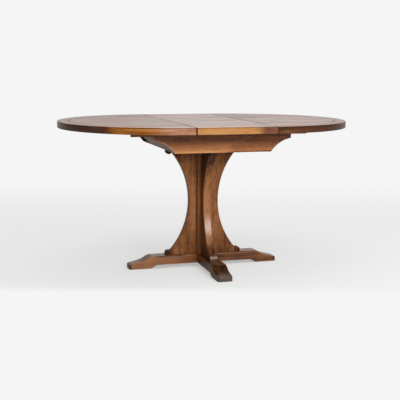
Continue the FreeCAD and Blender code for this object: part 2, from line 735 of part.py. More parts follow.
def swept_section(edges, start, angle):
    """Section turned round the left half's centre, from a bearing given in degrees from +X."""
    ring = Part.Face(Part.Wire(edges)).revolve(ORIGIN, AXIS, angle)
    return at(turned(ring, start), Vector(HALF_CENTRE, 0, 0))


def seam_edges_rounded(shape, seam):
    """Ease the upper and outer edges of a piece where it meets a seam plane."""
    def shown_edge(box):
        on_seam = box.XMin > seam - TINY and box.XMax < seam + TINY
        on_top = box.ZMin > TABLE_HEIGHT - TINY
        outside = max(abs(box.YMin), abs(box.YMax)) > TOP_RADIUS - EDGE_ROUND + TINY
        return on_seam and (on_top or outside)
    return rounded(shape, SEAM_ROUND, shown_edge)


def left_field():
    half = swept_section(field_section(), 90, 180)
    half = seam_edges_rounded(half, HALF_CENTRE)
    holes = placed(screw_hole(RUNNER_SCREW_LENGTH), runner_screw_places())
    holes += placed(screw_hole(CLEAT_SCREW_LENGTH), cleat_screw_places(HALF_CLEAT_X))
    return cut_by(half, holes)


def left_rims():
    """Rim segments of the left half, from the back round to the front."""
    angle = 180 / RIM_SEGMENTS
    rims = [swept_section(rim_section(), 90 + angle * i, angle) for i in range(RIM_SEGMENTS)]
    for end in (0, -1):
        rims[end] = seam_edges_rounded(rims[end], HALF_CENTRE)
    return rims


def across_leaf(edges):
    """Section lengthened over the leaf's width, at its back edge."""
    bar = solid(edges, Vector(0, LEAF_WIDTH, 0))
    bar.rotate(ORIGIN, AXIS, 90)
    return at(bar, Vector(LEAF_WIDTH / 2, 0, 0))


def both_seams_rounded(shape):
    for seam in (-LEAF_WIDTH / 2, LEAF_WIDTH / 2):
        shape = seam_edges_rounded(shape, seam)
    return shape


def leaf_field():
    back = across_leaf(field_section())
    board = both_seams_rounded(back.fuse(turned(back, 180)).removeSplitter())
    holes = [
        at(screw_hole(CLEAT_SCREW_LENGTH), place)
        for x in (-LEAF_CLEAT_OFFSET, LEAF_CLEAT_OFFSET)
        for place in cleat_screw_places(x)
    ]
    return cut_by(board, holes)


def leaf_lipping():
    """Solid edge at the back of the leaf, with the rim's section."""
    return both_seams_rounded(across_leaf(rim_section()))


# Nodes
def base_nodes():
    long_beam, cross_beam = foot_beams()
    right_fin, rear_fin, left_fin, front_fin = fins()
    nodes = {
        "foot_beam_long": long_beam,
        "foot_beam_cross": cross_beam,
        "column": column(),
        "fin_left": left_fin,
        "fin_right": right_fin,
        "fin_front": front_fin,
        "fin_rear": rear_fin,
        "fin_dowels": Part.makeCompound(fin_dowels()),
        "fin_screws": Part.makeCompound(fin_screws()),
        "head_plate": head_plate(),
        "bearer_left": bearer(-1),
        "bearer_right": bearer(1),
        "bearer_screws": Part.makeCompound(placed(screw(BEARER_SCREW_LENGTH), bearer_screw_places())),
        "end_panel_left": turned(end_panel(), 180),
        "end_panel_right": end_panel(),
        "batten_screws": Part.makeCompound(placed(screw(BATTEN_SCREW_LENGTH), batten_screw_places())),
    }
    for side, angle in (("front", 0), ("rear", 180)):
        nodes[side + "_rail"] = turned(rail(), angle)
        nodes[side + "_rail_strip"] = turned(rail_strip(0), angle)
        nodes[side + "_guide_batten"] = turned(guide_batten(), angle)
        nodes[side + "_batten_strip"] = turned(batten_strip(0), angle)
    return nodes


def half_nodes(side, angle):
    """One half of the top. The right half is the left one turned half round."""
    front, rear = ("front", "rear") if angle == 0 else ("rear", "front")
    front_runner, rear_runner = left_runners()
    nodes = {
        "field": left_field(),
        front + "_runner": front_runner,
        rear + "_runner": rear_runner,
        "runner_screws": Part.makeCompound(placed(screw(RUNNER_SCREW_LENGTH), runner_screw_places())),
        "cleat": cleat(HALF_CLEAT_X),
        "cleat_screws": Part.makeCompound(placed(screw(CLEAT_SCREW_LENGTH), cleat_screw_places(HALF_CLEAT_X))),
    }
    for number, rim in enumerate(left_rims(), start=1):
        nodes["rim_" + str(number)] = rim
    return {side + "_" + name: turned(shape, angle) for name, shape in nodes.items()}


def leaf_nodes():
    places = cleat_screw_places(-LEAF_CLEAT_OFFSET) + cleat_screw_places(LEAF_CLEAT_OFFSET)
    return {
        "leaf_field": leaf_field(),
        "leaf_front_lipping": turned(leaf_lipping(), 180),
        "leaf_rear_lipping": leaf_lipping(),
        "leaf_cleat_left": cleat(-LEAF_CLEAT_OFFSET),
        "leaf_cleat_right": cleat(LEAF_CLEAT_OFFSET),
        "leaf_cleat_screws": Part.makeCompound(placed(screw(CLEAT_SCREW_LENGTH), places)),
    }


def all_nodes():
    nodes = base_nodes()
    nodes.update(half_nodes("left", 0))
    nodes.update(half_nodes("right", 180))
    nodes.update(leaf_nodes())
    return nodes


os.makedirs("parts", exist_ok=True)
for node_name, node_shape in all_nodes().items():
    node_shape.exportStep("parts/" + node_name + ".step")
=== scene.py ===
import math

import bmesh
import bpy
from mathutils import Matrix, Vector

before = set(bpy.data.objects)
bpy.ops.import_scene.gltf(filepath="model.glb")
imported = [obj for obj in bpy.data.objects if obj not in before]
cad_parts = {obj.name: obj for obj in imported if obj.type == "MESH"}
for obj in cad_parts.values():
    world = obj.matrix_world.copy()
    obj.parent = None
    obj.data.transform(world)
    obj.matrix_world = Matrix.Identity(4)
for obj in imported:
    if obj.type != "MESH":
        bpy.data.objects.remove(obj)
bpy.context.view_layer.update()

scene = bpy.context.scene


# Shader maths
class Value:
    """An output socket. Sums on values add Math nodes to its finish."""

    def __init__(self, finish, socket):
        self.finish = finish
        self.socket = socket

    def maths(self, operation, first, second):
        return self.finish.add("Math", {"operation": operation}, {0: first, 1: second})

    def __add__(self, other):
        return self.maths("ADD", self, other)

    def __radd__(self, other):
        return self.maths("ADD", other, self)

    def __sub__(self, other):
        return self.maths("SUBTRACT", self, other)

    def __rsub__(self, other):
        return self.maths("SUBTRACT", other, self)

    def __mul__(self, other):
        return self.maths("MULTIPLY", self, other)

    def __rmul__(self, other):
        return self.maths("MULTIPLY", other, self)

    def __pow__(self, other):
        return self.maths("POWER", self, other)


class Finish:
    """A node tree, with one way to add a node to it."""

    def __init__(self, tree):
        self.tree = tree
        tree.nodes.clear()

    def add(self, kind, settings=None, inputs=None, output=0):
        node = self.tree.nodes.new("ShaderNode" + kind)
        for name, setting in (settings or {}).items():
            if name == "stops":
                ramp = node.color_ramp
                for place, colour in setting[1:-1]:
                    ramp.elements.new(place).color = (*colour, 1)
                for end, stop in ((ramp.elements[0], setting[0]), (ramp.elements[-1], setting[-1])):
                    end.position = stop[0]
                    end.color = (*stop[1], 1)
            else:
                setattr(node, name, setting)
        for name, value in (inputs or {}).items():
            if isinstance(value, Value):
                self.tree.links.new(value.socket, node.inputs[name])
            else:
                node.inputs[name].default_value = value
        return Value(self, node.outputs[output]) if node.outputs else None

    def ramped(self, value, low, high, start=0.0, end=1.0):
        """Smooth step of a value from low to high."""
        limits = {"Value": value, "From Min": low, "From Max": high, "To Min": start, "To Max": end}
        return self.add("MapRange", {"interpolation_type": "SMOOTHSTEP"}, limits)

    def noise(self, vector, detail, stretch):
        """Noise whose grain is pulled out along X of the vector."""
        pulled = self.add("Mapping", {}, {"Vector": vector, "Scale": stretch})
        return self.add("TexNoise", {}, {"Vector": pulled, "Scale": 1.0, "Detail": detail})

    def along(self, place, axis):
        return self.add("SeparateXYZ", {}, {"Vector": place}, axis)

    def size(self, value):
        return self.add("Math", {"operation": "ABSOLUTE"}, {0: value})

    def most(self, first, second):
        return self.add("Math", {"operation": "MAXIMUM"}, {0: first, 1: second})

    def least(self, first, second):
        return self.add("Math", {"operation": "MINIMUM"}, {0: first, 1: second})


def new_finish(name):
    material = bpy.data.materials.new(name)
    material.use_nodes = True
    return material, Finish(material.node_tree)


# Woods: each stain's dark, middle and light tones, and those of the painted highlight and sheens
CHESTNUT = ((0.050, 0.015, 0.005), (0.225, 0.081, 0.022), (0.420, 0.178, 0.055))
WALNUT = ((0.050, 0.017, 0.008), (0.225, 0.086, 0.031), (0.420, 0.186, 0.074))
RUSSET = ((0.055, 0.012, 0.004), (0.230, 0.064, 0.017), (0.400, 0.140, 0.048))
HONEY = ((0.200, 0.075, 0.018), (0.480, 0.215, 0.066), (0.660, 0.340, 0.125))
AMBER = ((0.110, 0.030, 0.004), (0.320, 0.108, 0.013), (0.520, 0.210, 0.040))
# a painted pinkish sheen, by the left-hand seam and on the long foot's left-hand arm
ROSE_SHEEN = ((0.180, 0.070, 0.036), (0.440, 0.215, 0.120), (0.600, 0.340, 0.220))
# a painted purplish sheen, at the lipping's right-hand end
ROSEWOOD_SHEEN = ((0.070, 0.022, 0.010), (0.180, 0.062, 0.030), (0.300, 0.125, 0.070))
PLUM = ((0.025, 0.007, 0.003), (0.085, 0.027, 0.010), (0.170, 0.065, 0.028))
# the pale tone of painted highlights, on the rails' coved arris and the front fin's toe
PALE_HIGHLIGHT = ((0.260, 0.170, 0.120), (0.560, 0.440, 0.370), (0.720, 0.620, 0.550))
END_GRAIN = ((0.060, 0.042, 0.030), (0.180, 0.124, 0.088), (0.300, 0.220, 0.165))
# a painted grey sheen, on the left-hand end panel's coved face
GREY_SHEEN = ((0.056, 0.033, 0.021), (0.196, 0.109, 0.065), (0.342, 0.205, 0.127))
BEECH = ((0.240, 0.130, 0.060), (0.430, 0.260, 0.130), (0.600, 0.400, 0.220))
STAIN_STOPS = (0.12, 0.5, 0.92)             # the tones at which a stain is dark, middling and light
# the dark of the joint lines, and of the painted shadow on the left-hand end panel
JOINT_AND_SHADOW_DARK = (0.020, 0.010, 0.006, 1)

# Which way a piece's grain runs, in degrees
ALONG_X = (0, 0, 0)
ALONG_Y = (0, 0, -90)
UPRIGHT = (0, 90, 0)

# Waves of noise to a metre, along the grain and both ways across it
WAVER = (1.3, 7.0, 7.0)
STREAKS = (1.7, 50.0, 50.0)
CLOUDS = (3.4, 13.0, 13.0)
PORES = (26.0, 900.0, 900.0)
SPOTS = (38.0, 75.0, 75.0)
SECOND_CLOUDS = (2.2, 24.0, 24.0)
BRUSHING = (260.0, 2600.0, 2600.0)
MIDDLE = 0.5                                # the middle of a noise, and of a tone
PORE_LIMITS = (0.58, 0.72)                  # the noise at which a pore starts and is full
SECOND_LIMITS = (0.42, 0.60)                # the same for the second stain

# The tree that a piece is cut from
PIECE_SPACING = 1.7                         # from one piece's board to the next, along the tree
HEART_ASIDE = (0.07, 0.05, 2.4)             # the heart's place beside a board: middle, swing and turn
HEART_BELOW = (0.11, 0.06, 1.7)
RINGS_PER_METRE = 120.0
RING_WAVER = 6.0
RING_SHARPNESS = 2.5

# What rings, pores and streaks do to the tone, the roughness and the relief
RING_TONE = 0.07
PORE_TONE = 0.10
STREAK_ROUGHNESS = 0.16
PORE_ROUGHNESS = 0.10
PORE_RELIEF = -0.5
RING_RELIEF = 0.25
STREAK_RELIEF = 0.3
GRAIN_STRENGTH = 0.15
GRAIN_HEIGHT = 0.0006

# How straight a bevelled corner still faces where an arris starts and where it is full
ARRIS_FACING = (0.99, 0.86)

STEEL_TONES = [(0.3, (0.34, 0.33, 0.31)), (0.7, (0.60, 0.59, 0.57))]
STEEL_ROUGHNESS = 0.22
BRUSHING_ROUGHNESS = 0.2
BRUSHING_STRENGTH = 0.2
BRUSHING_HEIGHT = 0.0001


def arris(finish, width):
    """1 on the outer corners of a piece."""
    softened = finish.add("Bevel", {"samples": 6}, {"Radius": width})
    flat = finish.add("NewGeometry", {}, {}, "Normal")
    facing = finish.add("VectorMath", {"operation": "DOT_PRODUCT"}, {0: softened, 1: flat}, "Value")
    return finish.ramped(facing, *ARRIS_FACING)


def heart_of(number):
    """Where a piece's board lies from the heart of its tree."""
    middle, swing, turn = HEART_ASIDE
    aside = middle + swing * math.sin(turn * number)
    middle, swing, turn = HEART_BELOW
    below = middle + swing * math.cos(turn * number)
    return (PIECE_SPACING * number, aside, below)


def wood(name, grain, number, stain, second=None, level=1.0, rough=0.34, coat=0.22, film=0.14, shine=0.25,
         arris_tone=0.0, arris_width=0.0035, cloud=0.6, streak=0.7, mottle=0.15, polish=0.0,
         patch=None, blend=None, lines=None):
    """Stained wood. The number gives each piece its own place in the tree.

    Coat and film are the varnish and its roughness. Cloud, streak and mottle say how unevenly the wood
    took the stain, and polish how unevenly it took the varnish. The second stain shows in clouds, or
    where blend says; on some pieces it is a painted highlight, on others a painted sheen. The arrises
    may be made lighter or darker, and patch makes the tone lighter or darker in a place; on several
    pieces these are painted light and shade. The lines give dark joint lines, and on the left-hand end
    panel painted shadow. Coat and the arrises' tone may vary over the piece.
    """
    material, finish = new_finish(name)
    place = finish.add("TexCoord", {}, {}, "Object")
    turn = tuple(math.radians(angle) for angle in grain)
    board = finish.add("Mapping", {}, {"Vector": place, "Rotation": turn, "Location": heart_of(number)})

    # Growth rings round a heart beside the board, wavering along its length
    waver = finish.noise(board, 3.0, WAVER)
    across = finish.along(board, "Y")
    down = finish.along(board, "Z")
    ring_radius = (across * across + down * down) ** 0.5
    turns = ring_radius * RINGS_PER_METRE + waver * RING_WAVER
    late_wood = finish.add("Math", {"operation": "SINE"}, {0: turns * (2 * math.pi)}) * 0.5 + 0.5
    late_wood = late_wood ** RING_SHARPNESS

    # Stain taken up unevenly, in long streaks, broad clouds and spots, and short dark pores
    streaks = finish.noise(board, 4.0, STREAKS)
    clouds = finish.noise(board, 2.0, CLOUDS)
    pores = finish.ramped(finish.noise(board, 2.0, PORES), *PORE_LIMITS)
    spots = finish.noise(board, 3.0, SPOTS)
    tone = MIDDLE + (clouds - MIDDLE) * cloud + (streaks - MIDDLE) * streak + (spots - MIDDLE) * mottle
    tone = tone - late_wood * RING_TONE
    if patch:
        tone = tone + patch(finish, place)
    if arris_tone:
        tone = tone + arris(finish, arris_width) * (arris_tone(finish, place) if callable(arris_tone) else arris_tone)
    tone = tone - pores * PORE_TONE

    def stained(colours):
        levelled = [tuple(level * part for part in colour) for colour in colours]
        return finish.add("ValToRGB", {"stops": list(zip(STAIN_STOPS, levelled))}, {"Fac": tone})
    colour = stained(stain)
    if second:
        if blend:
            share = blend(finish, place)
        else:
            share = finish.ramped(finish.noise(board, 2.0, SECOND_CLOUDS), *SECOND_LIMITS)
        colour = finish.add("Mix", {"data_type": "RGBA"}, {0: share, 6: colour, 7: stained(second)}, 2)

    varnish = coat(finish, place) if callable(coat) else coat
    if polish:
        varnish = varnish + (streaks + clouds - 2 * MIDDLE) * polish
    roughness = rough + (streaks - MIDDLE) * STREAK_ROUGHNESS + pores * PORE_ROUGHNESS
    relief = pores * PORE_RELIEF - late_wood * RING_RELIEF + streaks * STREAK_RELIEF
    bump = finish.add("Bump", {}, {"Height": relief, "Strength": GRAIN_STRENGTH, "Distance": GRAIN_HEIGHT})
    shader = finish.add("BsdfPrincipled", {}, {
        "Base Color": colour, "Roughness": roughness, "Normal": bump,
        "Coat Weight": varnish, "Coat Roughness": film, "Specular IOR Level": shine,
    })
    # Dark joint lines, and on the left-hand end panel painted shadow
    if lines:
        joint_and_shadow = finish.add("BsdfDiffuse", {}, {"Color": JOINT_AND_SHADOW_DARK})
        shader = finish.add("MixShader", {}, {0: lines(finish, place), 1: shader, 2: joint_and_shadow})
    finish.add("OutputMaterial", {}, {"Surface": shader})
    return material


def brushed_steel(name):
    material, finish = new_finish(name)
    place = finish.add("TexCoord", {}, {}, "Object")
    lines = finish.noise(place, 3.0, BRUSHING)
    colour = finish.add("ValToRGB", {"stops": STEEL_TONES}, {"Fac": lines})
    relief = {"Height": lines, "Strength": BRUSHING_STRENGTH, "Distance": BRUSHING_HEIGHT}
    bump = finish.add("Bump", {}, relief)
    roughness = lines * BRUSHING_ROUGHNESS + STEEL_ROUGHNESS
    shader = finish.add("BsdfPrincipled", {}, {
        "Base Color": colour, "Metallic": 1.0, "Roughness": roughness, "Normal": bump,
    })
    finish.add("OutputMaterial", {}, {"Surface": shader})
    return material


# Measures of a place on the table, from its middle or from the floor
def rightward(finish, place):
    return finish.along(place, "X")


def rearward(finish, place):
    return finish.along(place, "Y")


def height(finish, place):
    return finish.along(place, "Z")


def either_side(finish, place):
    """To the left or the right."""
    return finish.size(rightward(finish, place))


def front_or_rear(finish, place):
    """To the front or the back."""
    return finish.size(rearward(finish, place))


def reach(finish, place):
    """Out along a fin."""
    return finish.most(either_side(finish, place), front_or_rear(finish, place))


def off_fin(finish, place):
    """Out from the middle of a fin's thickness."""
    return finish.least(either_side(finish, place), front_or_rear(finish, place))


def tones(*rows):
    """A value that varies over a piece: a sum of amounts, each kept to its place by ramps.

    A row gives an amount, and for each ramp a measure, where it starts and where it is full.
    """
    def varying(finish, place):
        measured = {}
        total = None
        for amount, *ramps in rows:
            for measure, start, full in ramps:
                if measure not in measured:
                    measured[measure] = measure(finish, place)
                amount = finish.ramped(measured[measure], start, full) * amount
            total = amount if total is None else total + amount
        return total
    return varying


# The top
# a painted purplish sheen at the lipping's right-hand end
leaf_end_sheen = tones((1.0, (rightward, 0.085, 0.135)))
leaf_shade = tones(
    (-0.14, (rightward, -0.12, -0.19)),                             # dark at the left-hand seam
    (0.12, (rightward, 0.0, -0.08)),                                # lighter in the left-hand half
    (-0.25, (height, 0.7355, 0.7375), (height, 0.7398, 0.7394)),    # painted shade along the upper arris
)
# a painted pinkish sheen on the rim by the left-hand seam
left_seam_sheen = tones((1.0, (rightward, -0.40, -0.27)))
left_field_shade = tones(
    (0.12, (rightward, -0.40, -0.60), (rearward, 0.22, 0.0)),       # the end lighter at its front
    (-0.25, (rightward, -0.40, -0.60), (rearward, 0.0, 0.25)),      # and darker at its back
)
# a painted sheen: lighter along the front of the right-hand field
right_field_shade = tones((0.22, (rearward, -0.30, -0.42)))
top_varnish = tones(
    (0.22,),
    (0.06, (either_side, 0.195, 0.185)),                            # thickest on the leaf
    (-0.10, (rearward, -0.25, 0.30)),                               # thinner towards the back
)
rim_top = tones((0.6, (height, 0.7384, 0.7396)))
RIM_MIDDLE = ((rightward, -0.27, -0.33), (rightward, -0.52, -0.46))
left_rim_shade = tones(
    (-0.40, (rightward, -0.515, -0.575)),                           # dark towards the end
    (-0.16, (rightward, -0.25, -0.19)),                             # and at the seam
    (0.26, (height, 0.7215, 0.7255), (height, 0.7365, 0.7345), *RIM_MIDDLE),    # a light band
    (-0.06, (height, 0.7225, 0.7185), *RIM_MIDDLE),                             # darker below it
    # painted shade along the upper arris
    (-0.35, (height, 0.7345, 0.7365), (height, 0.7398, 0.7394), (rightward, -0.54, -0.50)),
)
right_rim_shade = tones(
    (-0.12, (height, 0.722, 0.730), (height, 0.7396, 0.7384)),      # the edge's upper part darker
    (0.28, (height, 0.727, 0.717), (rightward, 0.34, 0.24)),        # its lower part lighter by the seam
)
left_tight = tones(
    (0.55, (rearward, -0.36, -0.26), (rearward, 0.46, 0.40)),
    (0.45, (rearward, -0.10, -0.02), (rearward, 0.46, 0.40)),
)
right_tight = tones(
    (1.0, (rearward, -0.30, -0.36)),
    (1.0, (rearward, 0.18, 0.26)),
)
HALF_LEAF = 0.19
FIELD_RADIUS = 0.479
LEAF_EDGE = (0.0, -0.001)
SEAM_EDGES = (0.0042, 0.0024)
RING_EDGES = (0.0022, 0.0008)
LEFT_TO_RIGHT = (-0.1, 0.1)
TIGHT_FADE = 0.8


def seam_lines(finish, place):
    """1 on the line round each field and on the two seams, less where a seam closes tight."""
    along = rightward(finish, place)
    depth = rearward(finish, place)
    beyond = finish.size(along) - HALF_LEAF
    radius = (beyond * beyond + depth * depth) ** 0.5
    on_leaf = finish.ramped(beyond, *LEAF_EDGE)
    ring = finish.ramped(finish.size(radius - FIELD_RADIUS) + on_leaf, *RING_EDGES)
    right = finish.ramped(along, *LEFT_TO_RIGHT)
    sides = {0: right, 2: left_tight(finish, place), 3: right_tight(finish, place)}
    tight = finish.add("Mix", {"data_type": "FLOAT"}, sides)
    seam = finish.ramped(finish.size(beyond), *SEAM_EDGES) * (1.0 - tight * TIGHT_FADE)
    return finish.most(seam, ring)


# The frame
# Painted shade and light on the rails: the top's shadow along the upper part, light at the foot
rail_shade = tones(
    (0.19,),
    (-0.50, (height, 0.618, 0.686)),                                # painted shadow of the top along the upper part
    (-0.18, (rightward, 0.01, 0.06), (height, 0.655, 0.636)),       # darker in the right-hand half
    (0.18, (height, 0.626, 0.610)),                                 # painted light at the foot
    (0.14, (height, 0.626, 0.610), (rightward, -0.03, -0.10)),      # and most of all at its left
    (-0.30, (height, 0.617, 0.612), (rightward, -0.01, 0.06)),      # a dark lower edge at its right
    (-0.25, (height, 0.617, 0.612), (rightward, 0.18, 0.22)),       # darkest at the end
)
rail_arris_highlight_and_shade = tones(
    (0.85, (rightward, 0.11, -0.13), (height, 0.676, 0.662)),       # a painted highlight at the left, below the lip
    (-0.65, (rightward, -0.13, 0.11)),                              # painted shade at the right
)
# where a pale highlight is painted on the rails' coved arris, at their left-hand ends
left_cove = tones((0.9, (rightward, -0.225, -0.240), (height, 0.672, 0.655)))
COVE_ARRIS = 0.005
panel_shade = tones(
    (0.08,),
    (-0.5, (rearward, 0.05, 0.32)),                                 # painted shade, nearly black at the back
)
# where painted shadow makes the left-hand end panel nearly black: its back and under the top
panel_back = tones((1.0, (rearward, 0.15, 0.22)))
panel_top = tones((0.8, (height, 0.684, 0.696)))


def rail_cove_highlight(finish, place):
    """Nearly 1 on a rail's coved arris at its left-hand end, where a pale highlight is painted."""
    return arris(finish, COVE_ARRIS) * left_cove(finish, place)


def left_panel_shadow(finish, place):
    """High where painted shadow makes the end panel nearly black, at its back and under the top."""
    return finish.most(panel_back(finish, place), panel_top(finish, place))


# The pedestal
fin_shade = tones(
    (0.14,),
    (0.25, (off_fin, 0.0189, 0.0172), (reach, 0.165, 0.140)),       # painted light on the hollow edge
    (-0.16, (height, 0.46, 0.60)),                                  # painted shadow of the frame on the head
    (-0.10, (height, 0.20, 0.07)),                                  # and painted shade at the foot
    (-0.16, (reach, 0.060, 0.140)),                                 # away from the column
    (-0.30, (reach, 0.150, 0.185)),                                 # and most of all on the toes
)
front_fin_shade = tones(
    (0.24,),
    (-0.44, (height, 0.34, 0.55)),                                  # painted shade towards the head, under the frame
    (-0.15, (height, 0.55, 0.58)),
    (-0.10, (height, 0.28, 0.23)),                                  # and towards the foot
    (-0.44, (height, 0.15, 0.09)),
    (-0.25, (rightward, -0.0172, -0.0189), (height, 0.10, 0.16)),   # and painted shade on the left-hand face
)
front_fin_varnish = tones(
    (0.08,),
    (0.50, (height, 0.42, 0.30)),                                   # thickest on the lower part
)
# a painted highlight on the front fin's toe
front_toe_highlight = tones((0.6, (rearward, -0.176, -0.190), (height, 0.060, 0.072), (height, 0.12, 0.10)))
long_foot_shade = tones(
    (0.10, (rightward, -0.05, -0.24)),                              # the left-hand arm lighter
    (0.06, (rightward, -0.24, -0.29)),
    # left-hand toe: painted shade on the slope, painted highlights on the arrises; the arm's upper edge dark
    (-0.40, (rightward, -0.24, -0.28), (rightward, -0.345, -0.330), (front_or_rear, 0.0325, 0.0300)),
    (0.40, (rightward, -0.24, -0.28), (front_or_rear, 0.0310, 0.0340), (front_or_rear, 0.0369, 0.0364)),
    (-0.28, (rightward, -0.08, -0.13), (rightward, -0.26, -0.23), (height, 0.050, 0.057)),
    (-0.12, (rightward, 0.12, 0.18), (rightward, 0.31, 0.27)),      # the right-hand arm darker
    (-0.55, (rightward, -0.374, -0.386)),                           # dark ends
    (-0.15, (rightward, 0.365, 0.385)),
    (-0.14, (rightward, 0.13, 0.05), (rightward, -0.01, 0.01)),     # darker to the right of the column
    (0.12, (rightward, -0.11, -0.05), (rightward, 0.0, -0.01)),     # lighter to the left of it
)
# a painted pinkish sheen on the sides of the long foot's left-hand arm
left_arm_sheen = tones(
    (0.30, (front_or_rear, 0.0355, 0.0368), (rightward, -0.06, -0.26), (rightward, -0.386, -0.374)),
)
cross_foot_shade = tones(
    (-0.22, (front_or_rear, 0.270, 0.290), (front_or_rear, 0.356, 0.350)),      # painted shade on the toes' slopes
    (0.35, (either_side, 0.0345, 0.0365)),                                      # painted light on the sides
)
cross_foot_ends = tones((1.0, (front_or_rear, 0.350, 0.358)))


# The finish of each piece
def rim_grain(half, number):
    """A rim segment's grain lies along its chord."""
    turn = 180 if half == "right" else 0
    middle = 90 + 45 * (number - 0.5) + turn
    return (0, 0, -(middle + 90))


beech = {"stain": BEECH, "coat": 0.0, "rough": 0.55}
# The runners' raised level is painted light on their lower edges.
runner = {"stain": CHESTNUT, "level": 2.0, "coat": 0.0, "rough": 0.55}
field = {
    "stain": CHESTNUT, "second": RUSSET, "rough": 0.30, "coat": top_varnish,
    "cloud": 0.7, "streak": 1.1, "polish": 0.7, "lines": seam_lines,
}
edge = {"rough": 0.30, "arris_tone": -0.25, "mottle": 0.3, "lines": seam_lines}
lipping = {"stain": HONEY, "second": ROSEWOOD_SHEEN, "level": 0.93, "blend": leaf_end_sheen, "patch": leaf_shade, **edge}
plum_rim = {"stain": PLUM, "second": RUSSET, "blend": rim_top, **edge}
amber_rim = {"stain": AMBER, "level": 1.08, **edge}
seam_rim = {**amber_rim, "second": ROSE_SHEEN, "blend": left_seam_sheen, "patch": left_rim_shade}
rail = {
    "stain": WALNUT, "second": PALE_HIGHLIGHT, "level": 1.55, "coat": 0.06, "shine": 0.18,
    "arris_tone": rail_arris_highlight_and_shade, "arris_width": 0.006, "cloud": 0.35, "streak": 0.45, "mottle": 0.25,
    "patch": rail_shade, "blend": rail_cove_highlight,
}
end_panel = {
    "stain": CHESTNUT, "level": 1.4, "coat": 0.0, "rough": 0.5, "shine": 0.32, "patch": panel_shade,
}
fin = {
    "stain": WALNUT, "level": 1.02, "coat": 0.03, "shine": 0.06, "rough": 0.42,
    "cloud": 0.8, "streak": 0.9, "mottle": 0.55, "patch": fin_shade,
}
front_fin = {
    "stain": CHESTNUT, "second": PALE_HIGHLIGHT, "level": 1.15, "coat": front_fin_varnish, "film": 0.20,
    "mottle": 0.7, "patch": front_fin_shade, "blend": front_toe_highlight,
}
long_foot = {
    "stain": WALNUT, "second": ROSE_SHEEN, "coat": 0.12, "mottle": 0.25,
    "patch": long_foot_shade, "blend": left_arm_sheen,
}
# The cross foot's low level is painted shade under the top.
cross_foot = {
    "stain": CHESTNUT, "second": END_GRAIN, "level": 0.62, "coat": 0.08, "shine": 0.18,
    "patch": cross_foot_shade, "blend": cross_foot_ends,
}

finishes = {
    "left_field": (ALONG_X, {**field, "patch": left_field_shade}),
    "right_field": (ALONG_X, {**field, "patch": right_field_shade}),
    "leaf_field": (ALONG_X, field),
    "left_rim_4": (rim_grain("left", 4), seam_rim),
    "right_rim_4": (rim_grain("right", 4), amber_rim),
    # darker than the other runners: painted shade under the top
    "left_front_runner": (ALONG_X, {**runner, "level": 1.1}),
    "left_rear_runner": (ALONG_X, runner),
    "right_front_runner": (ALONG_X, runner),
    "right_rear_runner": (ALONG_X, runner),
    # a greyer, lighter stain than the right-hand panel's as a painted grey sheen, with painted shadow
    "end_panel_left": (ALONG_Y, {**end_panel, "stain": GREY_SHEEN, "level": 1.6, "lines": left_panel_shadow}),
    "end_panel_right": (ALONG_Y, end_panel),
    "head_plate": (ALONG_X, beech),
    "column": (UPRIGHT, {"stain": CHESTNUT, "level": 1.06}),
    "fin_front": (UPRIGHT, front_fin),
    "fin_dowels": (UPRIGHT, beech),
    "foot_beam_long": (ALONG_X, long_foot),
    "foot_beam_cross": (ALONG_Y, cross_foot),
}
for half, looks in (("left", plum_rim), ("right", {**plum_rim, "patch": right_rim_shade})):
    for segment in (1, 2, 3):
        finishes["%s_rim_%d" % (half, segment)] = (rim_grain(half, segment), looks)
    for piece in (half + "_cleat", "leaf_cleat_" + half, "bearer_" + half):
        finishes[piece] = (ALONG_Y, beech)
for side in ("front", "rear"):
    finishes["leaf_%s_lipping" % side] = (ALONG_X, lipping)
    finishes[side + "_rail"] = (ALONG_X, rail)
    for piece in ("rail_strip", "guide_batten", "batten_strip"):
        finishes["%s_%s" % (side, piece)] = (ALONG_X, beech)
for side in ("left", "right", "rear"):
    finishes["fin_" + side] = (UPRIGHT, fin)

steel = brushed_steel("screw_steel_finish")
for number, (node, piece) in enumerate(sorted(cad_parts.items())):
    if node in finishes:
        grain, looks = finishes[node]
        material = wood(node + "_wood", grain, number, **looks)
    else:
        material = steel
    piece.data.materials.clear()
    piece.data.materials.append(material)


# Studio
# the paper's tone round the table, a painted pool of shade, and away from it
PAPER_NEAR = 0.885
PAPER_FAR = 0.913
PAPER_BOUNCE = (0.38, 0.38, 0.38, 1)        # what the floor throws back on the table
PAPER_TONE = (0.85, 0.85, 0.85, 1)          # what the camera sees of it
FLOOR_REACH = 14
FLOOR_DROP = 0.0003
FLOOR_FAR = (0.6, 3.1)                      # where the floor turns paler behind the table,
FLOOR_NEAR = (-0.42, -0.60)                 # in front of it
FLOOR_ASIDE = (1.1, 2.4)                    # and beside it
GLOW_SEEN = 0.34                            # how much of the floor's tone is its own glow,
GLOW_STRAIGHT = 0.38                        # how much more of it straight from the camera
GLOW_PALE = 0.28                            # and more again where the floor is pale
# painted contact shadows: how near the table dims the floor's glow, and how far
CONTACT_REACH = 0.05
CONTACT_LIMITS = (0.25, 0.90)
CONTACT_DARK = 0.66

ROOM = 0.08                                 # what the sides of the room add to a reflection
FILL_WAY = (0.70, -0.60, 0.40)
FILL_SPREAD = (-0.5, 0.9)
FILL_LEAST = 0.04
FILL_MOST = 0.60
BACK_FILL = 0.30
BACK_SPREAD = (0.1, 0.8)
BACKDROP_SPREAD = (0.55, 0.95)
BACKDROP_LEVEL = 1.04
LEFT_FALLOFF = (-0.02, -0.14)               # where the backdrop starts to darken and has darkened
LEFT_LOSS = 0.20
RIGHT_FALLOFF = (0.05, 0.14)
RIGHT_LOSS = 0.09

